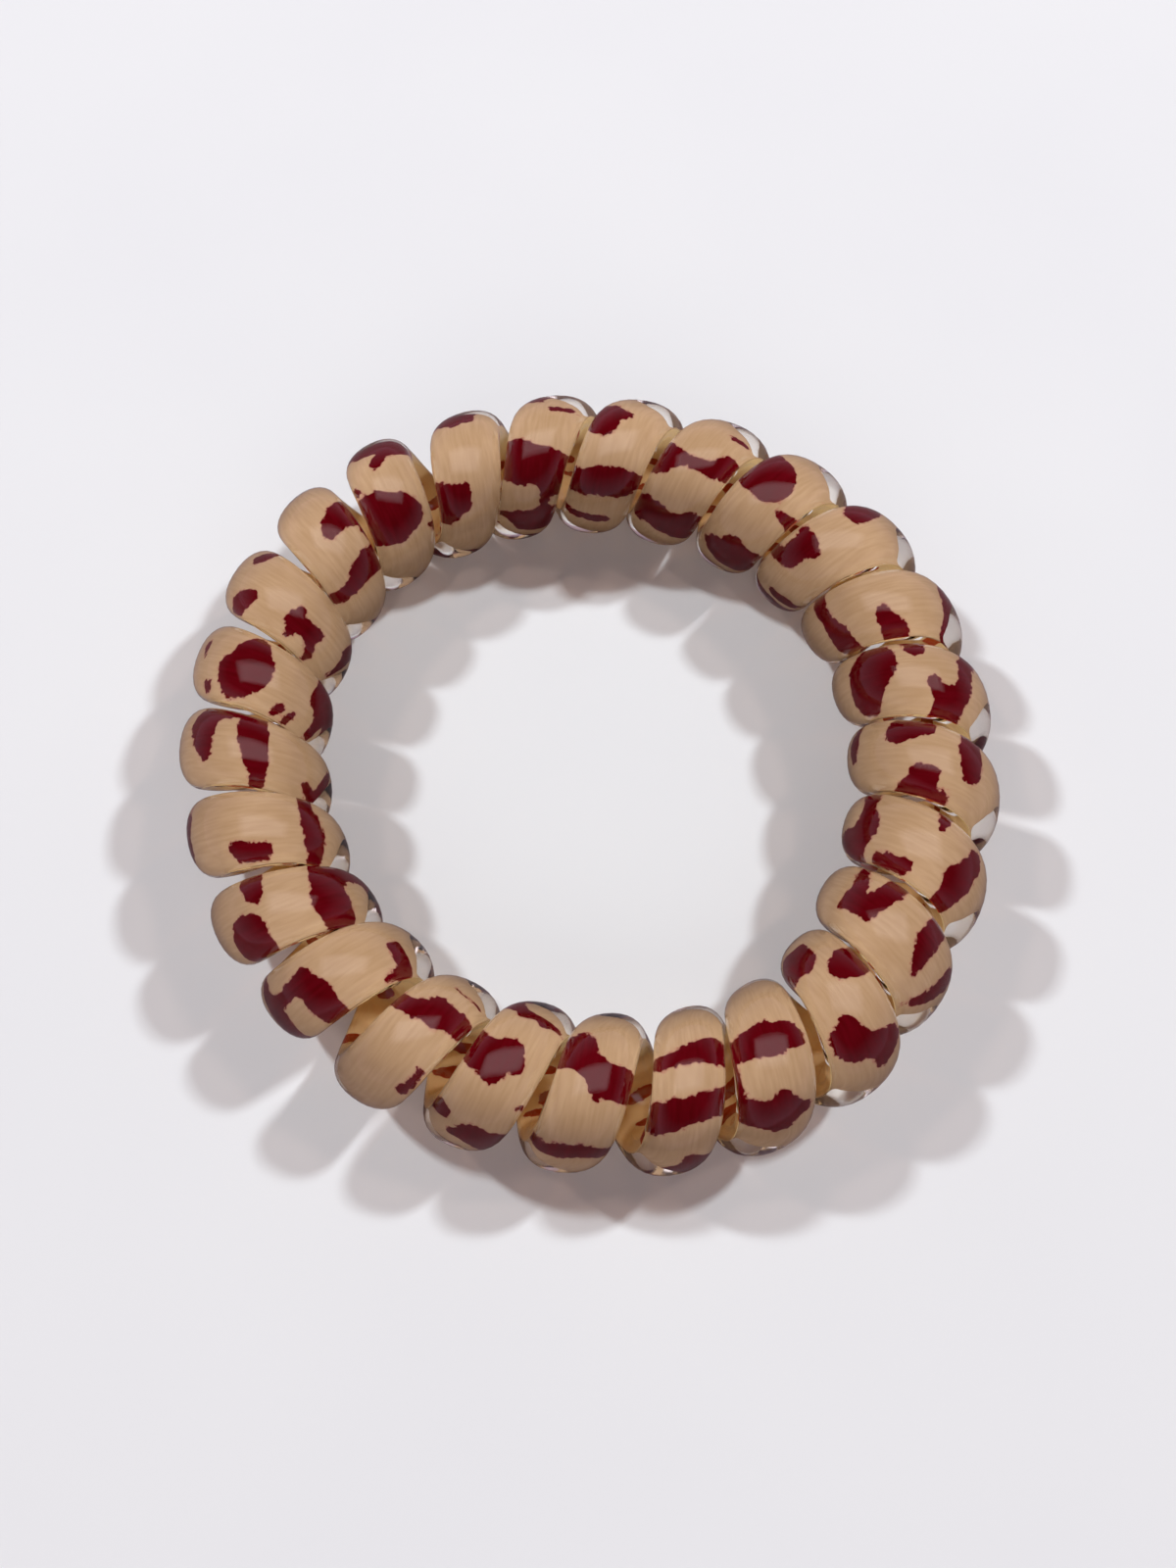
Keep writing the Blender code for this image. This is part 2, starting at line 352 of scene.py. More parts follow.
    (16, 20.8, 0.4, 18.9, -0.4, 1.25, 1.8),
    (16, 19.0, -0.6, 17.8, -1.4, 1.9, 1.4),
    (16, 17.6, -1.4, 16.0, -2.2, 1.4, 1.3),
    (16, 29.5, -1.8, 34.0, -1.75, 0.35, 0.4),
    (16, 35.3, -1.6, 36.2, -1.7, 0.5, 0.35),
    (17, 11.5, -0.8, 13.2, -0.75, 0.6, 0.6),
    (17, 11.6, -1.0, 11.0, -1.8, 1.2, 1.4),
    (17, 9.0, -2.0, 17.0, -2.05, 0.35, 0.25),
    (17, 32.3, 0.55, 37.0, 0.5, 1.05, 0.95),
    (17, 31.6, 0.95, 31.8, 0.9, 0.4, 0.4),
    (17, 32.4, 0.4, 31.2, -0.9, 1.4, 1.8),
    (17, 31.1, -1.0, 30.9, -2.3, 1.85, 1.9),
    (17, 37.0, 0.45, 41.0, 0.4, 0.8, 0.9),
    (17, 42.5, 0.4, 46.0, 0.9, 1.5, 2.0),
    (17, 43.5, -0.4, 48.0, -0.4, 2.0, 2.6),
    (17, 44.5, -1.2, 50.0, -1.2, 2.0, 2.2),
    (17, 44.5, 1.5, 46.5, 1.2, 1.1, 1.2),
    (18, -4.0, 1.1, 9.5, 1.1, 2.0, 2.0),
    (18, 12.0, 1.2, 15.0, 0.9, 1.8, 2.0),
    (18, 14.6, 0.6, 15.6, -0.6, 2.2, 2.3),
    (18, 14.9, -1.1, 11.8, -2.2, 2.2, 1.7),
    (18, 31.7, 2.2, 30.5, 1.2, 1.8, 1.2),
    (18, 30.3, 1.1, 29.7, 0.55, 1.0, 0.5),
    (18, 32.5, -0.9, 34.5, -0.75, 1.7, 1.75),
    (18, 33.3, -1.4, 34.6, -1.5, 2.4, 2.4),
    (18, 33.0, -2.1, 35.3, -2.1, 2.2, 2.2),
    (19, 0.0, 2.25, 12.0, 2.2, 0.3, 0.5),
    (19, 12.7, 1.9, 13.7, 1.2, 1.2, 1.0),
    (19, 13.7, 1.1, 13.3, 0.2, 0.95, 1.05),
    (19, 12.8, -0.2, 11.6, -1.1, 1.4, 1.35),
    (19, 11.4, -1.2, 9.5, -2.2, 1.3, 1.1),
    (19, 21.8, -1.75, 27.5, -1.75, 0.75, 0.8),
    (19, 27.3, -1.45, 28.3, -1.5, 0.8, 0.9),
    (19, 45.5, 0.9, 51.0, 0.9, 2.0, 2.0),
    (19, 46.0, -0.5, 51.0, -0.5, 2.0, 2.0),
    (20, 0.5, -0.3, 2.5, -1.5, 1.6, 1.2),
    (20, 3.5, -1.9, 8.3, -1.5, 0.6, 0.4),
    (20, 23.0, 2.3, 30.0, 2.2, 1.3, 1.1),
    (20, 30.0, 2.0, 37.0, 1.8, 0.9, 0.9),
    (20, 23.7, 1.6, 22.3, 0.4, 1.9, 1.75),
    (20, 22.0, 0.2, 20.5, -0.9, 1.6, 1.45),
    (20, 20.0, -1.2, 18.6, -2.2, 1.1, 0.95),
    (20, 34.8, 1.4, 37.0, 1.3, 1.6, 1.3),
    (20, 34.3, 0.8, 33.0, -0.2, 1.9, 1.3),
    (20, 32.6, -0.3, 31.6, -0.95, 1.2, 0.8),
    (21, -3.0, 0.8, 4.5, 0.8, 2.7, 2.7),
    (21, 5.0, 0.2, 6.0, 0.2, 2.4, 2.2),
    (21, 3.5, -0.4, 2.5, -1.3, 2.2, 1.4),
    (21, 10.8, -1.75, 11.0, -1.9, 0.5, 0.6),
    (21, 14.0, -1.75, 14.7, -1.85, 0.5, 0.55),
    (21, 25.9, 0.95, 25.0, 0.2, 2.1, 3.1),
    (21, 23.6, -0.55, 26.2, -0.55, 2.7, 2.8),
    (21, 25.0, -1.1, 26.3, -1.2, 1.9, 1.9),
    (21, 32.3, -1.85, 33.6, -1.9, 0.4, 0.4),
    (21, 39.5, 0.8, 37.0, -0.2, 0.8, 0.35),
    (22, -1.0, 0.6, 1.2, 0.2, 1.6, 1.4),
    (22, 0.0, -0.3, 0.0, -1.2, 1.6, 0.9),
    (22, 11.6, -0.75, 11.8, -1.0, 0.75, 0.9),
    (22, 11.8, -0.95, 16.0, -0.95, 1.1, 1.2),
    (22, 17.6, -0.15, 17.6, -1.0, 0.6, 0.85),
    (22, 16.8, -1.3, 16.3, -1.55, 1.0, 0.7),
    (22, 11.5, -1.3, 8.5, -1.95, 0.7, 0.4),
    (22, 28.6, -1.35, 31.0, -1.6, 1.1, 1.0),
    (22, 30.5, -1.9, 33.0, -2.0, 0.8, 0.5),
    (22, 34.7, 1.3, 34.5, 1.9, 0.8, 0.7),
    (22, 35.0, 1.6, 37.3, 1.3, 0.9, 0.5),
    (23, 8.0, 2.5, 18.0, 2.4, 1.0, 0.6),
    (23, 12.0, 2.25, 28.0, 2.25, 0.8, 0.8),
    (23, 11.8, 1.9, 12.0, 1.4, 2.0, 1.9),
    (23, 12.0, 1.2, 11.4, 0.1, 1.85, 1.5),
    (23, 10.8, -0.1, 9.3, -1.0, 1.4, 0.85),
    (23, 9.2, -1.1, 8.0, -2.0, 0.85, 1.0),
    (23, 24.0, 2.1, 28.5, 2.1, 1.4, 1.0),
    (23, 24.5, 1.5, 23.8, 0.7, 1.8, 1.4),
    (23, 25.5, 1.4, 27.0, 1.7, 1.5, 1.2),
    (23, 23.3, 0.4, 22.0, -0.05, 1.25, 0.9),
    (24, 5.0, 2.5, 9.0, 1.8, 0.8, 0.7),
    (24, 9.3, 1.7, 9.5, 1.5, 0.5, 0.4),
    (24, 15.0, 0.0, 14.8, -0.7, 2.75, 3.5),
    (24, 12.7, -1.3, 17.2, -1.3, 2.5, 2.5),
    (24, 12.2, -2.2, 18.0, -2.2, 2.4, 2.3),
    (24, 23.5, -1.95, 25.0, -2.0, 0.4, 0.4),
    (24, 33.0, 1.3, 45.0, 1.3, 1.9, 1.9),
    (24, 30.5, 0.5, 27.9, -0.25, 0.9, 0.8),
    (24, 34.8, 0.4, 36.0, -0.9, 1.5, 1.7),
    (24, 38.0, 0.3, 46.0, 0.3, 2.4, 2.4),
    (24, 36.5, -0.9, 40.5, -1.3, 1.7, 1.5),
    (24, 41.0, -0.8, 44.5, -0.7, 2.2, 2.0),
    (25, 11.3, -0.55, 14.7, -0.5, 0.75, 0.75),
    (25, 11.0, -1.1, 13.5, -1.0, 1.3, 1.25),
    (25, 8.5, -1.6, 13.8, -1.6, 1.1, 1.25),
    (25, 6.0, -2.0, 15.5, -2.1, 0.7, 0.8),
    (25, 34.2, 0.35, 46.5, 0.25, 1.2, 1.2),
    (25, 34.2, -0.7, 43.5, -0.7, 1.9, 2.0),
    (25, 36.0, -1.2, 41.5, -1.2, 1.7, 1.7),
)


def smooth_curve(value_at, place):
    """A smooth curve through value_at(0), value_at(1) and so on, read at a place between two of them."""
    start = math.floor(place)
    share = place - start
    before, here, after, beyond = [value_at(start + step) for step in (-1, 0, 1, 2)]
    slope = after - before
    bend = 2.0 * before - 5.0 * here + 4.0 * after - beyond
    twist = 3.0 * (here - after) + beyond - before
    return here + 0.5 * share * (slope + share * (bend + share * twist))


def side_angle(half_turn):
    """The angle at a half turn: even ones rise at the hole, odd ones fall at the outer side."""
    laps, place = divmod(half_turn, 2 * len(TURNS))
    return TURNS[place // 2][place % 2] + 360.0 * laps


def turn_push(turn):
    """How far one turn is pushed outwards."""
    return TURNS[turn % len(TURNS)][2] * COIL_DIAMETER


def turn_width(turn):
    """How wide one turn is, as a share of the strand's width."""
    return TURNS[turn % len(TURNS)][3]


def strand_angle(turn):
    """The angle along the ring, in degrees, that the strand has reached after so many turns."""
    return smooth_curve(side_angle, 2.0 * turn)


def winding_radius():
    """From the coil's centre line to the strand's widest line."""
    return COIL_DIAMETER / 2.0 - STRAND_THICKNESS * FACE_SHARE


def ring_radius(turn):
    """From the ring's centre to the coil's centre line."""
    oval = math.cos(math.radians(2.0 * (strand_angle(turn) - STRETCH_TOWARDS)))
    return RING_DIAMETER / 2.0 * (1.0 + RING_STRETCH * oval) + smooth_curve(turn_push, turn - 0.25)


def outward(turn):
    """The direction from the coil's centre line to the strand, from the hole over the top to the outside."""
    along = math.radians(strand_angle(turn))
    round_coil = 2.0 * math.pi * turn
    away = -math.cos(round_coil)
    return Vector((away * math.sin(along), away * math.cos(along), math.sin(round_coil)))


def strand_centre(turn):
    """A point on the strand's widest line."""
    along = math.radians(strand_angle(turn))
    radius = ring_radius(turn)
    coil_centre = Vector((radius * math.sin(along), radius * math.cos(along), COIL_DIAMETER / 2.0))
    return coil_centre + outward(turn) * winding_radius() + FOOTPRINT_SHIFT


def strand_frame(turn):
    """The strand's centre there, with the directions across its width and out through its face."""
    step = 0.01
    ahead = (strand_centre(turn + step) - strand_centre(turn - step)).normalized()
    face = outward(turn)
    face = (face - ahead * face.dot(ahead)).normalized()
    return strand_centre(turn), ahead.cross(face), face, ahead


def soft_least(*sizes):
    """The least of some sizes, eased where two of them are close."""
    power = -40.0
    return sum(size ** power for size in sizes) ** (1.0 / power)


def strand_width(turn):
    """The section's width: squeezed at the hole, and never so wide that it meets the turns beside it."""
    outer_share = (1.0 - math.cos(2.0 * math.pi * turn)) / 2.0
    wanted = SQUEEZED_WIDTH + (STRAND_WIDTH - SQUEEZED_WIDTH) * outer_share
    wanted *= smooth_curve(turn_width, turn - 0.25)
    centre, across, face, ahead = strand_frame(turn)
    rooms = [abs((strand_centre(turn + side) - centre).dot(across)) - TURN_CLEARANCE for side in (-1, 1)]
    return soft_least(wanted, *rooms)


def rounded_corner(angle, squareness):
    """A point of a rounded section, as shares of its half width and of its depth."""
    sideways, outwards = math.cos(angle), math.sin(angle)
    power = 2.0 / squareness
    return math.copysign(abs(sideways) ** power, sideways), math.copysign(abs(outwards) ** power, outwards)


def strand_section(half_width):
    """The clear strand's outline at a station: how far each corner lies sideways and outwards."""
    outline = []
    for corner in range(STRAND_CORNERS):
        angle = 2.0 * math.pi * corner / STRAND_CORNERS
        on_face = math.sin(angle) >= 0.0
        sideways, outwards = rounded_corner(angle, FACE_SQUARENESS if on_face else BACK_SQUARENESS)
        depth = STRAND_THICKNESS * (FACE_SHARE if on_face else 1.0 - FACE_SHARE)
        outline.append((sideways * half_width, outwards * depth))
    return outline


def film_height():
    """How far outwards the film's face lies from the strand's widest line."""
    return STRAND_THICKNESS * FACE_SHARE - FILM_DEPTH


def film_section(half_width):
    """The film's outline at a station: its printed face from edge to edge, then its back the other way."""
    edge = half_width * FILM_SPAN
    front = [(edge * (1.0 - 2.0 * corner / (FILM_FACE_CORNERS - 1)), film_height())
             for corner in range(FILM_FACE_CORNERS)]
    back = [(edge * (2.0 * corner / (FILM_BACK_CORNERS - 1) - 1.0), film_height() - FILM_THICKNESS)
            for corner in range(FILM_BACK_CORNERS)]
    return front + back


def camera_place():
    """Where the camera stands, on the ring's near side."""
    height = math.radians(CAMERA_HEIGHT)
    return CAMERA_AIM + Vector((0.0, -math.cos(height), math.sin(height))) * CAMERA_DISTANCE


def face_place(turn, across):
    """A place on the clear face, and the direction that the face has there."""
    centre, side, face, ahead = strand_frame(turn)
    half_width, depth = strand_width(turn) / 2.0, STRAND_THICKNESS * FACE_SHARE
    share = min(abs(across) / half_width, FACE_EDGE)
    fall = 1.0 - share ** FACE_SQUARENESS
    height = depth * fall ** (1.0 / FACE_SQUARENESS)
    slope = depth / half_width * share ** (FACE_SQUARENESS - 1.0) * fall ** (1.0 / FACE_SQUARENESS - 1.0)
    place = centre + side * math.copysign(share * half_width, across) + face * height
    return place, (face + side * math.copysign(slope, across)).normalized()


def bent_sight(sight, face):
    """The way that a line of sight goes on inside the plastic."""
    into = -sight.dot(face)
    deep = math.sqrt(1.0 - (1.0 - into * into) / PLASTIC_IOR ** 2)
    return sight / PLASTIC_IOR + face * (into / PLASTIC_IOR - deep)


def looking_in(turn, across):
    """Where the camera's sight through a place on the clear face meets the film: turn and place across."""
    start, facing = face_place(turn, across)
    sight = bent_sight((start - camera_place()).normalized(), facing)
    for step in range(MEETING_STEPS):
        centre, side, face, ahead = strand_frame(turn)
        reach = (start - centre - face * film_height()).dot(face) / max(-sight.dot(face), LEAST_SLANT)
        place = start + sight * reach - centre
        turn += place.dot(ahead) / (2.0 * math.pi * winding_radius())
    return turn, place.dot(side)


def seen_place(turn, across):
    """The place on the clear face through which the camera sees a place on the film."""
    seen_turn, seen_across = turn, across
    limit = strand_width(turn) / 2.0
    for step in range(SEARCH_STEPS):
        found_turn, found_across = looking_in(seen_turn, seen_across)
        seen_turn += (turn - found_turn) * SEARCH_ALONG
        seen_across += (across - found_across) * SEARCH_ACROSS
        seen_turn = min(max(seen_turn, turn - SEARCH_REACH), turn + SEARCH_REACH)
        seen_across = min(max(seen_across, -limit), limit)
    return seen_turn, seen_across


@functools.cache
def seen_sample(station, column):
    """How far a sample place of the film seems moved along the strand, in turns, and where it seems across.

    On the half towards the floor, which the camera doesn't see, this fades out.
    """
    lap, place = divmod(station / SIGHT_STATIONS + 0.25, 1.0)
    nearest = min(max(place, HIDDEN_SHARE), 1.0 - HIDDEN_SHARE)
    fade = 1.0 - abs(place - nearest) / HIDDEN_SHARE
    turn = lap + nearest - 0.25
    across = (2.0 * column / SIGHT_COLUMNS - 1.0) * FILM_SPAN * strand_width(turn) / 2.0
    seen_turn, seen_across = seen_place(turn, across)
    return (seen_turn - turn) * fade, across + (seen_across - across) * fade


def chart_place(turn, share):
    """Where a place on the film lies on the chart: its turn, and how far across in millimetres."""
    station, column = turn * SIGHT_STATIONS, (share + 1.0) / 2.0 * SIGHT_COLUMNS
    first_station, first_column = math.floor(station), min(math.floor(column), SIGHT_COLUMNS - 1)
    moved, across = 0.0, 0.0
    for one, along_share in ((0, 1.0 - station + first_station), (1, station - first_station)):
        for other, across_share in ((0, 1.0 - column + first_column), (1, column - first_column)):
            sample = seen_sample(first_station + one, first_column + other)
            moved += along_share * across_share * sample[0]
            across += along_share * across_share * sample[1]
    return turn + moved, across * MILLIMETRES


def stroke_distance(along, across, stroke):
    """How far a point of the film lies outside one brush stroke, in millimetres; below nothing inside it."""
    from_along, from_across, to_along, to_across, from_width, to_width = stroke
    run, rise = to_along - from_along, to_across - from_across
    reach = max(run * run + rise * rise, 0.0001)
    share = ((along - from_along) * run + (across - from_across) * rise) / reach
    share = min(max(share, 0.0), 1.0)
    gap = math.hypot(along - from_along - run * share, across - from_across - rise * share)
    return gap - (from_width + (to_width - from_width) * share) / 2.0


def blended_least(one, other):
    """The lesser of two distances, rounded where two strokes join."""
    share = max(STROKE_BLEND - abs(one - other), 0.0) / STROKE_BLEND
    return min(one, other) - share * share * STROKE_BLEND / 4.0


def brush_strokes():
    """The charted strokes, and scattered ones for the half of each turn that lies towards the floor."""
    hundredth = TURN_LENGTH / 100.0
    strokes = []
    for turn, from_along, from_across, to_along, to_across, from_width, to_width in PATCHES:
        start = (turn - 1) * 100.0
        stroke = ((start + from_along) * hundredth, from_across, (start + to_along) * hundredth, to_across)
        strokes.append(stroke + (from_width, to_width))
    scatter = random.Random(SCATTER_SEED)
    for turn in range(len(TURNS)):
        along = 100.0 * turn + scatter.uniform(*SCATTER_START)
        while along < 100.0 * turn + SCATTER_END:
            across = scatter.uniform(*SCATTER_ACROSS)
            lean = scatter.uniform(*SCATTER_LEAN)
            length = scatter.uniform(*SCATTER_LENGTH) * (-1.0 if across > 0.0 else 1.0)
            wide = scatter.uniform(*SCATTER_WIDTH)
            stroke = (along * hundredth, across, (along + lean) * hundredth, across + length)
            strokes.append(stroke + (wide, wide * scatter.uniform(*SCATTER_TAPER)))
            along += scatter.uniform(*SCATTER_STEP)
    return strokes


def nearby_strokes(strokes):
    """The strokes that may touch each turn, so that a point is only compared with those."""
    whole = TURN_LENGTH * len(TURNS)
    near = []
    for turn in range(len(TURNS)):
        start = TURN_LENGTH * turn - STROKE_REACH
        end = TURN_LENGTH * (turn + 1) + STROKE_REACH
        found = []
        for stroke in strokes:
            for shift in (-whole, 0.0, whole):
                first = min(stroke[0], stroke[2]) + shift
                last = max(stroke[0], stroke[2]) + shift
                if last > start and first < end:
                    found.append((stroke[0] + shift, stroke[1], stroke[2] + shift) + stroke[3:])
        near.append(found)
    return near


def print_distance(turn, across, near):
    """How far a point of the film lies outside the dark patches, in millimetres."""
    along = turn * TURN_LENGTH
    distance = FAR_FROM_PATCHES
    for stroke in near[min(max(int(turn), 0), len(TURNS) - 1)]:
        distance = blended_least(distance, stroke_distance(along, across, stroke))
    return distance


def swept_ring(section, stations_per_turn):
    """A flat grid rolled up: its rows are sections carried along the strand, and its seams are welded.

    Each corner of the body keeps its turn, and its share of the way from the film's middle to its edge.
    """
    corners = len(section(1.0))
    stations = stations_per_turn * len(TURNS)
    body = bmesh.new()
    turn_of = body.verts.layers.float.new("turn")
    share_of = body.verts.layers.float.new("share")
    grid = bmesh.ops.create_grid(body, x_segments=corners, y_segments=stations, size=1.0)["verts"]
    rows = sorted(grid, key=lambda corner: (round(corner.co.y, 5), corner.co.x))
    for number, corner in enumerate(rows):
        station, place = divmod(number, corners + 1)
        if place == 0:
            turn = station % stations / stations_per_turn
            centre, across, face, ahead = strand_frame(turn)
            half_width = strand_width(turn) / 2.0
            outline = section(half_width)
        sideways, outwards = outline[place % corners]
        corner.co = centre + across * sideways + face * outwards
        corner[turn_of] = turn
        corner[share_of] = sideways / half_width / FILM_SPAN
    bmesh.ops.remove_doubles(body, verts=body.verts, dist=WELD_DISTANCE)
    bmesh.ops.recalc_face_normals(body, faces=body.faces)
    return body


def finished_piece(name, body, materials):
    """Turns a modelled body into a piece that rides on the tie."""
    mesh = bpy.data.meshes.new(name)
    body.to_mesh(mesh)
    body.free()
    for material in materials:
        mesh.materials.append(material)
    piece = bpy.data.objects.new(name, mesh)
    bpy.context.scene.collection.objects.link(piece)
    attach(piece, "root")
    return piece


def clear_strand():
    """The moulded clear strand, with its turns lying side by side round the ring."""
    body = swept_ring(strand_section, STRAND_STATIONS)
    for wall in body.faces:
        wall.smooth = True
    piece = finished_piece("clear_strand", body, [clear_plastic()])
    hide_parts("coil_strand")
    return piece


def printed_film():
    """The film inside the strand: a thin strip under the face, with its print in front and its amber back."""
    body = swept_ring(film_section, FILM_STATIONS)
    print_of = body.verts.layers.float.new("print_distance")
    place_of = body.verts.layers.float_vector.new("film_place")
    turn_of = body.verts.layers.float["turn"]
    share_of = body.verts.layers.float["share"]
    near = nearby_strokes(brush_strokes())
    for corner in body.verts:
        turn, across = chart_place(corner[turn_of], min(max(corner[share_of], -1.0), 1.0))
        corner[print_of] = print_distance(turn, across, near)
        corner[place_of] = (turn * TURN_LENGTH, across, 0.0)
    for wall in body.faces:
        wall.smooth = True
        middle = sum(corner[turn_of] for corner in wall.verts) / len(wall.verts)
        if wall.normal.dot(outward(middle)) < 0.0:
            wall.material_index = 1
    for edge in body.edges:
        if len({wall.material_index for wall in edge.link_faces}) > 1:
            edge.smooth = False
    return finished_piece("printed_film", body, [film_print(), film_back()])


def new_material(name):
    """A material with its node tree and its main shader."""
    material = bpy.data.materials.new(name)
    material.use_nodes = True
    tree = material.node_tree
    return material, tree, tree.nodes["Principled BSDF"]


def wire(tree, source, output, target, socket):
    """Joins two nodes."""
    tree.links.new(source.outputs[output], target.inputs[socket])


def grain(tree, scale, detail):
    """Noise that stays put on the piece, with features of about one over its scale in metres."""
    place = tree.nodes.new("ShaderNodeTexCoord")
    noise = tree.nodes.new("ShaderNodeTexNoise")
    noise.inputs["Scale"].default_value = scale
    noise.inputs["Detail"].default_value = detail
    wire(tree, place, "Object", noise, "Vector")
    return noise


def spread(tree, source, low, high, to_low, to_high):
    """Maps a node's value from one range to another."""
    node = tree.nodes.new("ShaderNodeMapRange")
    node.inputs["From Min"].default_value = low
    node.inputs["From Max"].default_value = high
    node.inputs["To Min"].default_value = to_low
    node.inputs["To Max"].default_value = to_high
    tree.links.new(source, node.inputs["Value"])
    return node.outputs["Result"]


def mottling(tree, scale, detail):
    """Soft mottling between nothing and one."""
    return spread(tree, grain(tree, scale, detail).outputs["Fac"], 0.3, 0.7, 0.0, 1.0)


def mixed(tree, share, one, other):
    """A colour between two others, each a plain colour or a node's output."""
    node = tree.nodes.new("ShaderNodeMix")
    node.data_type = "RGBA"
    for socket, value in ((node.inputs[0], share), (node.inputs[6], one), (node.inputs[7], other)):
        if isinstance(value, bpy.types.NodeSocket):
            tree.links.new(value, socket)
        else:
            socket.default_value = value
    return node.outputs[2]


def lamps_pass(tree, shader, tint, outside):
    """Lets the lamps' rays through to the film inside in a tint, and fewer of them to the floor outside."""
    lamp_ray = tree.nodes.new("ShaderNodeLightPath")
    passing = tree.nodes.new("ShaderNodeBsdfTransparent")
    inside = spread(tree, lamp_ray.outputs["Transmission Depth"], 0.0, 1.0, 0.0, 1.0)
    tree.links.new(mixed(tree, inside, outside, tint), passing.inputs["Color"])
    either = tree.nodes.new("ShaderNodeMixShader")
    wire(tree, lamp_ray, "Is Shadow Ray", either, 0)
    wire(tree, shader, 0, either, 1)
    wire(tree, passing, 0, either, 2)
    wire(tree, either, 0, tree.nodes["Material Output"], "Surface")


def make_matt(shader, roughness, gloss):
    """Gives a shader a dull surface."""
    shader.inputs["Roughness"].default_value = roughness
    shader.inputs["Specular IOR Level"].default_value = gloss


def clear_plastic():
    """Water-clear glossy plastic, very faintly smeared and rippled, which lets the lamps reach the film."""
    material, tree, shader = new_material("clear_plastic")
    shader.inputs["Base Color"].default_value = PLASTIC
    shader.inputs["Transmission Weight"].default_value = 1.0
    shader.inputs["IOR"].default_value = PLASTIC_IOR
    smears = grain(tree, 420.0, 3.0)
    tree.links.new(spread(tree, smears.outputs["Fac"], 0.35, 0.7, 0.015, 0.06), shader.inputs["Roughness"])
    ripples = grain(tree, 500.0, 1.0)
    bump = tree.nodes.new("ShaderNodeBump")
    bump.inputs["Strength"].default_value = 0.12
    bump.inputs["Distance"].default_value = 0.0002
    wire(tree, ripples, "Fac", bump, "Height")
    wire(tree, bump, "Normal", shader, "Normal")
    lamps_pass(tree, shader, PLASTIC_TO_FILM, PLASTIC_TO_FLOOR)
    return material


def sheen_streaks(tree):
    """Fine lighter streaks that run along the film: partly its own streaky tone, partly a painted sheen."""
    place = tree.nodes.new("ShaderNodeAttribute")
    place.attribute_name = "film_place"
    drawn = tree.nodes.new("ShaderNodeVectorMath")
    drawn.operation = "MULTIPLY"
    drawn.inputs[1].default_value = (0.5, 4.5, 1.0)
    wire(tree, place, "Vector", drawn, 0)
    noise = tree.nodes.new("ShaderNodeTexNoise")
    noise.inputs["Scale"].default_value = 1.0
    noise.inputs["Detail"].default_value = 3.0
    wire(tree, drawn, "Vector", noise, "Vector")
    return spread(tree, noise.outputs["Fac"], 0.35, 0.65, 0.0, 1.0)


def print_edge(tree):
    """The distance outside the dark patches, in millimetres, with the ragged edge of the print."""
    chart = tree.nodes.new("ShaderNodeAttribute")
    chart.attribute_name = "print_distance"
    ragged = grain(tree, 3500.0, 3.0)
    rough = spread(tree, ragged.outputs["Fac"], 0.25, 0.75, -0.13, 0.13)
    total = tree.nodes.new("ShaderNodeMath")
    total.operation = "ADD"
    wire(tree, chart, "Fac", total, 0)
    tree.links.new(rough, total.inputs[1])
    return total.outputs["Value"]


def film_print():
    """The film's printed face: warm beige with dark maroon patches, and a pinkish fringe where they meet."""
    material, tree, shader = new_material("giraffe_print")
    make_matt(shader, 0.6, 0.0)
    edge = print_edge(tree)
    mottle = mottling(tree, 350.0, 3.0)
    drawn = sheen_streaks(tree)
    # The lighter streaks in the beige and maroon are partly painted sheen
    beige = mixed(tree, drawn, mixed(tree, mottle, *BEIGE_DULL), mixed(tree, mottle, *BEIGE_SHEEN_STREAK))
    maroon = mixed(tree, drawn, *MAROON)
    fringed = mixed(tree, spread(tree, edge, 0.0, 0.09, 1.0, 0.0), beige, PINK_FRINGE)
    printed = mixed(tree, spread(tree, edge, -0.025, 0.015, 1.0, 0.0), fringed, maroon)
    tree.links.new(printed, shader.inputs["Base Color"])
    lamps_pass(tree, shader, THROUGH_PRINT, THROUGH_PRINT)
    return material


def film_back():
    """The film's back: the print shows through as amber with red-brown patches."""
    material, tree, shader = new_material("film_back")
    make_matt(shader, 0.6, 0.0)
    edge = print_edge(tree)
    mottle = mottling(tree, 350.0, 3.0)
    amber, brown = mixed(tree, mottle, *AMBER), mixed(tree, mottle, *RED_BROWN)
    seen = mixed(tree, spread(tree, edge, -0.03, 0.03, 1.0, 0.0), amber, brown)
    tree.links.new(seen, shader.inputs["Base Color"])
    glow = tree.nodes.new("ShaderNodeBsdfTranslucent")
    tree.links.new(seen, glow.inputs["Color"])
    both = tree.nodes.new("ShaderNodeMixShader")
    both.inputs[0].default_value = BACK_GLOW
    wire(tree, shader, 0, both, 1)
    wire(tree, glow, 0, both, 2)
    lamps_pass(tree, both, BACK_TO_FILM, BACK_TO_FLOOR)
    return material


def floor_material():
    """Pale matt tabletop with the faintest mottling; in gloss its reflection is a painted darker pinkish
    colour.
    """
    material, tree, shader = new_material("pale_tabletop")
    make_matt(shader, 0.7, 0.2)
    pale = mixed(tree, mottling(tree, 30.0, 2.0), *TABLE)
    # Painted reflection: rays of gloss that are not rays of transmission see the floor in a darker pinkish
    # colour
    ray = tree.nodes.new("ShaderNodeLightPath")
    glance = tree.nodes.new("ShaderNodeMath")
    glance.operation = "SUBTRACT"
    glance.use_clamp = True
    wire(tree, ray, "Is Glossy Ray", glance, 0)
    wire(tree, ray, "Is Transmission Ray", glance, 1)
    tree.links.new(mixed(tree, glance.outputs["Value"], pale, TABLE_PAINTED_REFLECTION), shader.inputs["Base Color"])
    return material


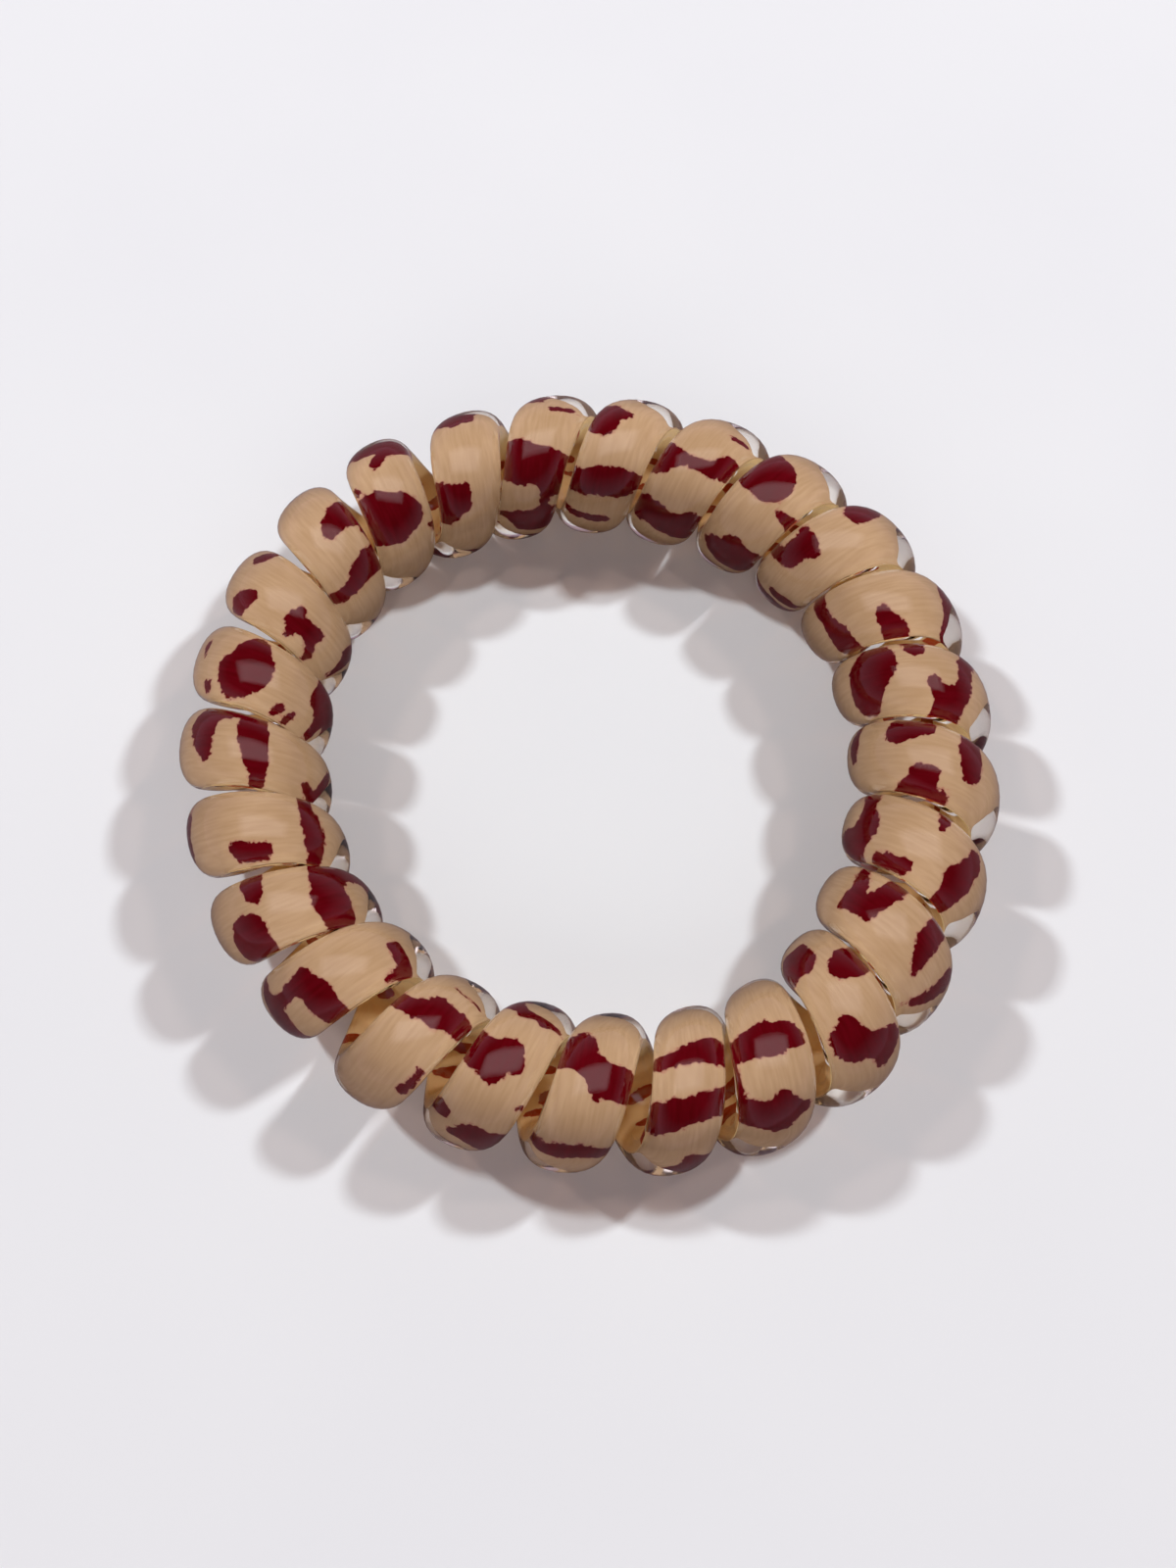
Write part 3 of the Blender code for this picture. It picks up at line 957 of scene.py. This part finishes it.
def tabletop():
    """The plain floor that the tie lies on."""
    body = bmesh.new()
    bmesh.ops.create_grid(body, x_segments=1, y_segments=1, size=1.5)
    mesh = bpy.data.meshes.new("tabletop")
    body.to_mesh(mesh)
    body.free()
    mesh.materials.append(floor_material())
    floor = bpy.data.objects.new("tabletop", mesh)
    bpy.context.scene.collection.objects.link(floor)


def looking(item, place, target):
    """Puts a lamp or the camera at a place, turned towards a target."""
    item.location = place
    item.rotation_mode = "QUATERNION"
    item.rotation_quaternion = (Vector(target) - Vector(place)).to_track_quat("-Z", "Y")


def softbox(name, bearing, height, distance, width, depth, power, colour, mirrored):
    """A rectangular studio lamp that gloss alone mirrors, or that gives light."""
    lamp = bpy.data.lights.new(name, "AREA")
    lamp.shape = "RECTANGLE"
    lamp.size = width
    lamp.size_y = depth
    lamp.energy = power
    lamp.color = colour
    holder = bpy.data.objects.new(name, lamp)
    bpy.context.scene.collection.objects.link(holder)
    holder.visible_glossy = mirrored
    holder.visible_transmission = mirrored
    holder.visible_diffuse = not mirrored
    turn, rise = math.radians(bearing), math.radians(height)
    flat = math.cos(rise) * distance
    place = Vector((flat * math.sin(turn), flat * math.cos(turn), math.sin(rise) * distance))
    looking(holder, place, LAMPS_AIM)


def studio_light():
    """A soft-edged window overhead for the gloss, two lamps behind, a fill from the front, and the room."""
    for lamp in LAMPS:
        softbox(*lamp)
    room = bpy.data.worlds.new("pale_room")
    room.use_nodes = True
    tree = room.node_tree
    place = tree.nodes.new("ShaderNodeTexCoord")
    split = tree.nodes.new("ShaderNodeSeparateXYZ")
    wire(tree, place, "Generated", split, 0)
    height = spread(tree, split.outputs["Z"], 0.05, 0.65, 0.0, 1.0)
    tree.links.new(mixed(tree, height, ROOM_LOW, ROOM_HIGH), tree.nodes["Background"].inputs["Color"])
    tree.nodes["Background"].inputs["Strength"].default_value = 1.0
    bpy.context.scene.world = room


def studio_camera():
    """The camera at the photograph's height and distance, looking at the ring from its near side."""
    lens = bpy.data.cameras.new("camera")
    lens.sensor_width = CAMERA_SENSOR
    lens.lens = CAMERA_LENS
    lens.clip_start = 0.005
    lens.clip_end = 10.0
    camera = bpy.data.objects.new("camera", lens)
    bpy.context.scene.collection.objects.link(camera)
    looking(camera, camera_place(), CAMERA_AIM)
    bpy.context.scene.camera = camera


studio_camera()
studio_light()
tabletop()
clear_strand()
printed_film()
bpy.context.scene.view_settings.view_transform = "Standard"
